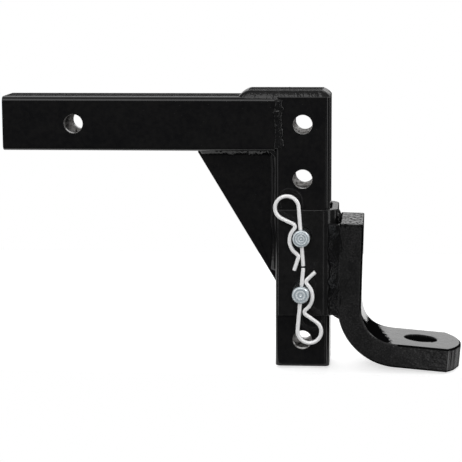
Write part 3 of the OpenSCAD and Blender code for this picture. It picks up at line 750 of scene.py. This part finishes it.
# Platform: the rounded side carried round its outline, and rings from the ball hole out to the outline.
def platformGrids():
    thick, halfW, edge = bar["thick"], bar["width"] / 2, bar["edge"]
    flats, arcs = bar["flats"], bar["arcs"]

    def onPlatform(run, depth, y):
        return barPoint(depth, y, math.radians(bar["bend"]), beyond=run)

    half = barLoop() + [thick / 2, 0]
    profile = np.concatenate([half[flats + arcs:0:-1], half[:1], half[::-1][:arcs]])
    depth = np.broadcast_to(profile[:, 0], (len(platformOutline(0)), len(profile)))
    strip = np.stack([platformOutline(halfW + y) for y in profile[:, 1]], 1)
    fromFace = np.minimum(depth, thick - depth)
    # Painted shade: the platform's rounded corners are dead black, dark outlines in place of edge light.
    atCorner = (fromFace > bar["cornerClear"]) & (fromFace < edge - bar["cornerClear"])
    side = grid(onPlatform(strip[..., 0], depth, strip[..., 1]), shadeShare=atCorner * 1.0)
    across = np.linspace(halfW - edge, edge - halfW, flats + 1)[1:-1]
    border = np.concatenate([platformOutline(edge), np.stack([0 * across, across], 1)])
    ballHole = (bar["reach"] - bar["holeToTip"], 0)
    # The ball hole asks for painted shade deep in its wall.
    return [side] + holeGrids(border, border, ballHole, bar["holeD"] / 2, thick, 0.0, bar["holeSoft"],
                              onPlatform, bare=0.0, shadeShare=1.0)


bentBar = [uprightAndBend()] + platformGrids()
makePiece("ballPlatform", bentBar, barCoat, "slider", "ball_platform")

# Welds of the slider: down both sides of the bar, and across its top and its foot. A weld's lines are its
# two toes and its root: x at the foot, x at the top and y of the side welds, x and z of the cross welds.

sideSeam = dict(z=(-178.2, -91.0), lines=((239.2, 239.2, 32.6), (249.6, 251.2, 38.0), (248.6, 248.9, 30.0)),
                steps=330, look=dict(crown=0.6, round=0.5, stray=1.5, lump=0.35, ripple=0.03, lap=7, swell=50,
                                     waves=5, taper=1.2, coat=seamCoat))
crossSeam = dict(halfY=27, steps=200)
# The top weld lies in the crease under the channel: most of it gets painted shade, dead black with ragged
# borders.
topSeam = dict(lines=((247.2, -85.6), (249.2, -90.7), (247.0, -91.0)), out=(0.7, 0, 0.7),
               look=dict(lump=0.6, crown=0.2, stray=0.9, coat=rootCoat, shadeShare=0.52))
footSeam = dict(lines=((241.6, -178.4), (250.6, -184.0), (249.0, -177.0)), out=(-0.5, 0, -0.8), look={})


def crossBead(name, seam, node, seed):
    half, steps = crossSeam["halfY"], crossSeam["steps"]
    toeA, toeB, root = (lineOf((x, -half, z), (x, half, z), steps) for x, z in seam["lines"])
    weldBead(name, toeA, toeB, root, seam["out"], node, "slider", seed, **seam["look"])


for side, word in frontAndRear:
    low, high = sideSeam["z"]
    toeA, toeB, root = (lineOf((footX, side * y, low), (topX, side * y, high), sideSeam["steps"])
                        for footX, topX, y in sideSeam["lines"])
    weldBead("platformWeld" + word, toeA, toeB, root, (0.35, side, 0), "platform_weld_" + word.lower(),
             "slider", 71 + side, **sideSeam["look"])
crossBead("platformWeldTop", topSeam, "platform_weld_top", 81)
crossBead("platformWeldFoot", footSeam, "platform_weld_foot", 85)
print("slider done")

# Pins

pin = dict(x=tube["columnX"], d=15.875, headD=26.0, headT=6.0, grip=88.9, tail=9.2, chamfer=1.4, holeD=4.6,
           holeSoft=0.25, cell=4.6, cellSteps=16, turns=64, shaftSteps=9, rings=(1, 0.5, 0.15, 0),
           boreRows=(1, 0.5, 0, -0.5, -1))
upperPin = dict(z=-102.3625, headY=42.25, lean=4.6, dimple=(1.3, 0.25), ringPitch=0.0022, ringDepth=0.00007)
lowerPin = dict(z=-153.1625, headY=33.25, lean=-5.0, dimple=(1.6, 0.6), ringPitch=0.0030, ringDepth=0.00003)


# Outline of a pin, radius and place along it: dimpled end face, chamfer, shaft and head.
def pinOutline(endY, holeY, headY, dimple):
    r, chamfer, cell = pin["d"] / 2, pin["chamfer"], pin["cell"]
    headR, topY = pin["headD"] / 2, headY + pin["headT"]
    face = [(0.001, endY + dimple[1]), (dimple[0] * 0.5, endY + dimple[1] * 0.8), (dimple[0], endY),
            (r * 0.45, endY), (r - chamfer - 0.4, endY)]
    tip = [(r - chamfer - 0.1, endY + 0.05), (r - chamfer + 0.2, endY + 0.25),
           (r - 0.25, endY + chamfer - 0.3), (r - 0.06, endY + chamfer - 0.05), (r, endY + chamfer + 0.3)]
    shaft = [(r, y) for y in np.linspace(holeY - cell, holeY + cell, pin["cellSteps"] + 1)]
    shaft += [(r, y) for y in np.linspace(holeY + cell, headY - 1.0, pin["shaftSteps"] + 1)[1:]]
    head = [(r, headY - 0.2), (r + 0.2, headY - 0.05), (r + 1.0, headY), (headR - 0.8, headY),
            (headR - 0.2, headY + 0.2), (headR, headY + 0.8), (headR, topY - 1.6), (headR - 0.3, topY - 0.8),
            (headR - 1.0, topY - 0.2), (headR - 1.8, topY), (headR * 0.5, topY), (0.001, topY)]
    return np.array(face + tip + shaft + head), len(face + tip), len(face + tip + shaft)


# Turned pin: its outline is turned about the Y axis, with a clip hole through it near the end. The hole's
# rim is where a small circle seen from above meets the round of the pin.
def turnedPin(z, headY, lean, dimple):
    r, steps, turns, cell, soft = pin["d"] / 2, pin["cellSteps"], pin["turns"], pin["cell"], pin["holeSoft"]
    holeY = headY - pin["grip"]
    outline, first, last = pinOutline(holeY - pin["tail"], holeY, headY, dimple)
    turn = np.linspace(0, 2 * np.pi, turns, endpoint=False) - np.pi / 4
    keep = np.ones((len(outline) - 1, turns), bool)
    keep[first:first + steps, :steps] = False
    keep[first:first + steps, 2 * steps:3 * steps] = False

    def world(lateral, y, up):
        across, height = tilted(lateral, up, lean)
        return np.stack([pin["x"] + across, y + 0 * up, z + height], -1)

    body = world(outline[:, :1] * np.sin(turn), outline[:, 1:], outline[:, :1] * np.cos(turn))
    row = np.arange(len(outline))[:, None]
    onShaft = (row >= first - 1) & (row < last)
    border = cellBorder(turn[:steps + 1], np.linspace(-cell, cell, steps + 1))
    angle = np.arctan2(border[:, 1], border[:, 0] * r)
    holeR = pin["holeD"] / 2
    rimTurn, rimY = np.arcsin((holeR + soft) * np.cos(angle) / r), (holeR + soft) * np.sin(angle)
    share = np.array(pin["rings"])[:, None]
    ringTurn, ringY = lerp(rimTurn, border[:, 0], share), lerp(rimY, border[:, 1], share) + holeY
    upper = world(r * np.sin(ringTurn), ringY, r * np.cos(ringTurn))
    lower = world(r * np.sin(ringTurn), ringY, -r * np.cos(ringTurn))
    aside = holeR * np.cos(angle)
    rise = np.array(pin["boreRows"])[:, None] * (np.sqrt(r * r - aside * aside) - soft)
    wallUp = np.concatenate([[r * np.cos(rimTurn)], rise, [-r * np.cos(rimTurn)]])
    lateral = np.concatenate([[r * np.sin(rimTurn)], 0 * rise + aside, [r * np.sin(rimTurn)]])
    wallY = np.concatenate([[rimY], 0 * rise + holeR * np.sin(angle), [rimY]]) + holeY
    bore = world(lateral, wallY, wallUp)
    return ([grid(body, joinCols=True, keep=keep, shaft=onShaft * 1.0)] +
            [grid(points, joinCols=True, shaft=1.0) for points in (upper, lower, bore)])


for name, finish, own, body, node in (("pinUpper", "turnedZinc", upperPin, "upper_pin", "pin_upper"),
                                      ("pinLower", "dimpledZinc", lowerPin, "lower_pin", "pin_lower")):
    turnedZinc = zincFinish(finish, pin["x"], own["z"], own["ringPitch"], own["ringDepth"])
    makePiece(name, turnedPin(own["z"], own["headY"], own["lean"], own["dimple"]), turnedZinc, body, node,
              50)

# Spring clips

clip = dict(wire=3.6, loopR=10.9, loopTurn=240, neck=11.6, smallR=3.0, rise=1.2, bowR=15.3, bowTurn=88.5,
            fall=2.6, loopRise=34.4, soft=0.2, around=24)
upperClip = dict(leg=55.1, flare=22.5, flareL=12.3, lean=4.6, shift=(-0.4, -5.9), y=-46.65, z=upperPin["z"])
lowerClip = dict(leg=58.3, flare=40.5, flareL=10.3, lean=175.0, shift=(0, 0), y=-55.65, z=lowerPin["z"])


# Middle line of a clip and its heading at each point: leg, loop, neck, bow round the pin and flared tip.
def clipLine(leg, flare, flareL):
    loopTurn, halfBow = clip["loopTurn"], clip["bowTurn"] / 2
    steps = [(leg, 0), (clip["loopR"], loopTurn), (clip["neck"], 0),
             (clip["smallR"], -(loopTurn - 180 + halfBow)), (clip["rise"], 0),
             (clip["bowR"], clip["bowTurn"]), (clip["fall"], 0), (clip["smallR"], -(halfBow + flare)),
             (flareL, 0)]
    at, heading, line, ways = np.array([0.0, clip["loopRise"] - leg]), np.pi / 2, [], []
    for size, angle in steps:
        if angle == 0:
            t = np.linspace(0, size, max(3, int(size / 3) + 2))
            line.append(at + t[:, None] * [math.cos(heading), math.sin(heading)])
            ways.append(0 * t + heading)
        else:
            sign, sweep = np.sign(angle), math.radians(abs(angle))
            centre = at + sign * size * np.array([-math.sin(heading), math.cos(heading)])
            t = np.linspace(0, sweep, max(6, int(abs(angle) / 4)))
            a = heading + sign * (t - np.pi / 2)
            line.append(centre + size * np.stack([np.cos(a), np.sin(a)], 1))
            ways.append(heading + sign * t)
            heading += sign * sweep
        at = line[-1][-1]
    line, ways = np.concatenate(line), np.concatenate(ways)
    fresh = np.concatenate([[True], np.linalg.norm(np.diff(line, axis=0), axis=1) > 1e-6])
    return line[fresh], ways[fresh]


# Bent wire: a circle carried along the clip's line in one upright plane, with rounded ends.
def bentWire(leg, flare, flareL, lean, shift, y, z):
    line, ways = clipLine(leg, flare, flareL)
    r = clip["wire"] / 2
    inset, deep = (part[1:] for part in quarterRound(clip["soft"], 3))
    startWay, endWay = (np.array([math.cos(way), math.sin(way)]) for way in (ways[0], ways[-1]))
    start = np.concatenate([[line[0]] * 2, line[0] + startWay * deep[:, None]])
    end = np.concatenate([[line[-1]] * 2, line[-1] - endWay * deep[:, None]])[::-1]
    path = np.concatenate([start, line[1:-1], end])
    way = np.concatenate([np.full(len(start), ways[0]), ways[1:-1], np.full(len(end), ways[-1])])
    endRadii = np.concatenate([[0.001, r - clip["soft"]], r - inset])
    radii = np.concatenate([endRadii, np.full(len(line) - 2, r), endRadii[::-1]])[:, None]
    around = np.linspace(0, 2 * np.pi, clip["around"], endpoint=False)
    side = np.stack([-np.sin(way), np.cos(way)], 1)
    flat = path[:, None] + (radii * np.cos(around))[..., None] * side[:, None] + np.array(shift)
    across, up = tilted(flat[..., 0], flat[..., 1], lean)
    points = np.stack([pin["x"] + across, y + radii * np.sin(around), z + up], -1)
    return [grid(points, joinCols=True)]


springWire = wireFinish()
makePiece("clipUpper", bentWire(**upperClip), springWire, "upper_clip", "clip_upper", 50)
makePiece("clipLower", bentWire(**lowerClip), springWire, "lower_clip", "clip_lower", 50)
print("pins and clips done")

# Camera: its place in metres, its angles in degrees, and its focal length in pixels of the 462-pixel photo

view = dict(at=(0.2851, -1.5729, 0.1432), yaw=-5.08, pitch=8.902, roll=-0.275, focal=1680.3, pixels=462,
            sensor=36.0, clip=(0.05, 50))
yaw, pitch, roll = (math.radians(view[key]) for key in ("yaw", "pitch", "roll"))
ahead = np.array([math.sin(yaw) * math.cos(pitch), math.cos(yaw) * math.cos(pitch), -math.sin(pitch)])
level = np.array([math.cos(yaw), -math.sin(yaw), 0])
above = np.cross(level, ahead)
pose = np.eye(4)
pose[:3, 0] = math.cos(roll) * level + math.sin(roll) * above
pose[:3, 1] = math.cos(roll) * above - math.sin(roll) * level
pose[:3, 2] = -ahead
pose[:3, 3] = view["at"]
camera = newObject("photoCamera", bpy.data.cameras.new("photoCamera"))
camera.matrix_world = Matrix(pose.tolist())
camera.data.sensor_width = view["sensor"]
camera.data.lens = view["focal"] * view["sensor"] / view["pixels"]
camera.data.clip_start, camera.data.clip_end = view["clip"]
bpy.context.scene.camera = camera
bpy.context.scene.view_settings.view_transform = "Standard"

# Studio in metres: a pale table, a white wall behind it above a dark gap, and soft boxes. Black gloss
# mirrors the dark front of the room, and the narrow boxes draw the light lines along its edges.

studio = dict(floorZ=-0.2316, floorX=(-0.42, 0.82), floorY=(-0.045, 0.62), floorGrey=0.62, floorMirrored=0.2,
              wallFrom=(0.112, 0.150), behindFrom=(-0.05, 0.35), ceiling=0.27, ceilingFrom=(0.15, 0.55),
              sideWall=0.04, sideWay=(0.906, -0.423), sideFrom=(0.30, 0.75), gap=0.036,
              middle=(0.15, 0, -0.08))
softBoxes = dict(  # place, width and height, watts, and whether gloss shows it
    keyBox=((-0.4, -1.5, 1.2), (1.6, 1.2), 9.0, True),
    fillBox=((0.30, -1.9, 0.35), (0.9, 0.7), 32.0, False),
    backBox=((0.1, 1.9, 0.9), (1.2, 0.9), 22.0, False),
    leftBox=((-1.5, -0.6, 0.2), (0.9, 1.2), 1.8, True),
    rightBox=((1.85, 0.5, -0.05), (0.3, 1.3), 1.1, True),
    cornerBox=((1.54, -1.09, -0.05), (0.45, 1.3), 2.4, True),
    lowBox=((0.47, -1.62, -0.40), (0.12, 0.5), 0.12, True),
    highBox=((1.75, -0.4, 1.1), (0.5, 0.5), 4.0, True))


# Pale table that takes shadows, with a glow that makes it as white as the wall behind it.
def floorMaterial():
    m, tree = emptied(bpy.data.materials.new("paleTable"))
    grey = studio["floorGrey"]
    ray = addNode(tree, "LightPath", {}).outputs
    mirrored = mathNode(tree, "MAXIMUM", ray["Is Glossy Ray"], ray["Is Transmission Ray"])
    mirrored = times(tree, mirrored, studio["floorMirrored"])
    seen = times(tree, ray["Is Camera Ray"], grey)
    base = addNode(tree, "BsdfDiffuse", {"Color": (grey, grey, grey)})
    glow = addNode(tree, "Emission", {"Strength": mathNode(tree, "MAXIMUM", seen, mirrored)})
    both = addNode(tree, "AddShader", {0: base.outputs[0], 1: glow.outputs[0]})
    addNode(tree, "OutputMaterial", {"Surface": both.outputs[0]})
    return m


# World: white for the camera. Gloss shows the white wall behind, a grey ceiling and a dim wall at the right.
def studioWorld():
    world, tree = emptied(bpy.data.worlds.new("studio"))
    way = addNode(tree, "TexCoord", {}).outputs["Generated"]
    x, y, z = addNode(tree, "SeparateXYZ", {0: way}).outputs
    wall = times(tree, rangeNode(tree, z, *studio["wallFrom"]), rangeNode(tree, y, *studio["behindFrom"]))
    ceiling = times(tree, rangeNode(tree, z, *studio["ceilingFrom"]), studio["ceiling"])
    sideX, sideY = studio["sideWay"]
    toSide = mathNode(tree, "ADD", times(tree, x, sideX), times(tree, y, sideY))
    sideWall = times(tree, rangeNode(tree, toSide, *studio["sideFrom"]), studio["sideWall"])
    ray, strength = addNode(tree, "LightPath", {}).outputs, wall
    for least in (ceiling, sideWall, studio["gap"], ray["Is Camera Ray"], ray["Is Transmission Ray"]):
        strength = mathNode(tree, "MAXIMUM", strength, least)
    sky = addNode(tree, "Background", {"Color": (1, 1, 1), "Strength": strength})
    addNode(tree, "OutputWorld", {"Surface": sky.outputs[0]})
    return world


def softBox(name, at, size, power, glossy):
    lamp = bpy.data.lights.new(name, "AREA")
    lamp.shape, lamp.size, lamp.size_y, lamp.energy = "RECTANGLE", size[0], size[1], power
    box = newObject(name, lamp)
    box.location = at
    box.rotation_euler = (Vector(studio["middle"]) - Vector(at)).to_track_quat("-Z", "Y").to_euler()
    box.visible_camera = False
    box.visible_glossy = glossy


(left, right), (front, rear), z = studio["floorX"], studio["floorY"], studio["floorZ"]
corners = [(left, front, z), (right, front, z), (right, rear, z), (left, rear, z)]
floorMesh = bpy.data.meshes.new("floor")
floorMesh.from_pydata(corners, [], [(0, 1, 2, 3)])
floorMesh.materials.append(floorMaterial())
floor = newObject("floor", floorMesh)
bpy.context.scene.world = studioWorld()
for name, values in softBoxes.items():
    softBox(name, *values)
print("studio done")
